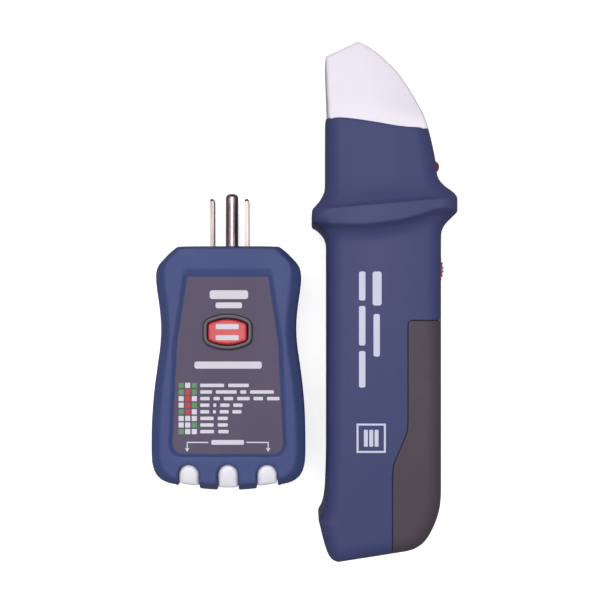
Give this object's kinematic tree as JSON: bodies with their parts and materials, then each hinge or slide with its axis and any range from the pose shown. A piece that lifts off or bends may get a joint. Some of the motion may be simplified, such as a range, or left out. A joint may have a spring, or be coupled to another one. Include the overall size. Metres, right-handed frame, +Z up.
{
  "type": "circuit breaker finder",
  "caption": "Two-piece circuit tracer: a plug-in transmitter with wiring lamps and a test button, and a hand-held receiver wand with translucent tip, finger guard and thumb wheel.",
  "frame": {"origin": "centre of the bounding box at table level, under the two units lying flat side by side", "axes": "+Y along both units, towards the receiver tip and the transmitter prongs; +X from the transmitter to the receiver and its thumb edge; +Z up, out of the label face"},
  "size_m": [0.1104, 0.188, 0.038],
  "materials": {
    "shell_blue": "fine spark-eroded texture, moulded ABS",
    "tip_white": "translucent milky polycarbonate, satin",
    "cover_dark": "fine texture",
    "led_red": "tinted clear epoxy",
    "led_amber": "tinted clear epoxy",
    "wheel_red": "satin, knurled",
    "button_red": "satin",
    "black_plastic": "moulded",
    "white_plastic": "moulded",
    "pcb_green": "solder mask",
    "ferrite": "sintered",
    "copper": "enamelled wire",
    "lens_white": "milky translucent",
    "cap_sleeve": "shrink sleeve",
    "resistor_body": "lacquer",
    "battery_case": "printed steel jacket, no marks",
    "plated_steel": "nickel or zinc plated",
    "wire_red": "PVC insulation",
    "wire_black": "PVC insulation",
    "wire_white": "PVC insulation",
    "wire_green": "PVC insulation",
    "foam": "closed-cell foam",
    "label_grey": "printed film, matt",
    "brass_prong": "nickel-washed brass",
    "nickel_pin": "nickel-plated",
    "film_yellow": "dipped",
    "ceramic_white": "cement case",
    "fuse_glass": "clear tube, plated caps"
  },
  "bodies": {
    "receiver": {"battery_foam_pad": "foam", "battery_lead_black": "wire_black", "battery_lead_red": "wire_red", "battery_snap": "black_plastic", "battery_terminals": "plated_steel", "buzzer": "black_plastic", "electrolytic_capacitors": "cap_sleeve", "ferrite_core": "ferrite", "nine_volt_battery": "battery_case", "pickup_bobbin": "white_plastic", "pickup_winding": "copper", "probe_tip": "tip_white", "receiver_chip": "black_plastic", "receiver_lower_shell": "shell_blue", "receiver_pcb": "pcb_green", "receiver_resistors": "resistor_body", "receiver_screws": "plated_steel", "receiver_upper_shell": "shell_blue", "sensitivity_pot": "black_plastic", "signal_led": "led_red", "tip_leds": "lens_white"},
    "battery_cover": {"battery_cover": "cover_dark"},
    "sensitivity_wheel": {"sensitivity_wheel": "wheel_red", "pot_rotor": "black_plastic"},
    "transmitter": {"transmitter_front_shell": "shell_blue", "transmitter_back_shell": "shell_blue", "face_label": "label_grey", "button_return_spring": "plated_steel", "test_switch_body": "black_plastic", "indicator_lens_left": "lens_white", "indicator_lens_centre": "lens_white", "indicator_lens_right": "lens_white", "wiring_led_left": "led_red", "wiring_led_centre": "led_amber", "wiring_led_right": "led_amber", "hot_blade": "brass_prong", "neutral_blade": "brass_prong", "ground_pin": "nickel_pin", "prong_carrier": "black_plastic", "transmitter_pcb": "pcb_green", "transmitter_chip": "black_plastic", "film_capacitor": "film_yellow", "ceramic_resistors": "ceramic_white", "fuse": "fuse_glass", "transmitter_screws": "plated_steel", "hot_wire": "wire_black", "neutral_wire": "wire_white", "ground_wire": "wire_green"},
    "gfci_button": {"gfci_test_button": "button_red"},
    "switch_plunger": {"test_switch_plunger": "white_plastic"}
  },
  "joints": [
    {"name": "battery_cover_slide", "type": "slide", "parent": "receiver", "child": "battery_cover", "axis": [0, -1, 0], "range_m": [0, 0.09]},
    {"name": "sensitivity_wheel_turn", "type": "hinge", "parent": "receiver", "child": "sensitivity_wheel", "pos_m": [0.04265, 0.0116, 0.019], "axis": [0, 0, 1], "range_deg": [0, 270]},
    {"name": "transmitter_slide", "type": "slide", "parent": "receiver", "child": "transmitter", "axis": [-1, 0, 0], "range_m": [0, 0.15]},
    {"name": "test_button_press", "type": "slide", "parent": "transmitter", "child": "gfci_button", "axis": [0, 0, -1], "range_m": [0, 0.001], "deforming": ["button_return_spring"]},
    {"name": "switch_plunger_press", "type": "slide", "parent": "transmitter", "child": "switch_plunger", "axis": [0, 0, -1], "range_m": [0, 0.00025]}
  ],
  "couplings": [
    {"joint": "switch_plunger_press", "follows": "test_button_press", "ratio": 0.25}
  ]
}
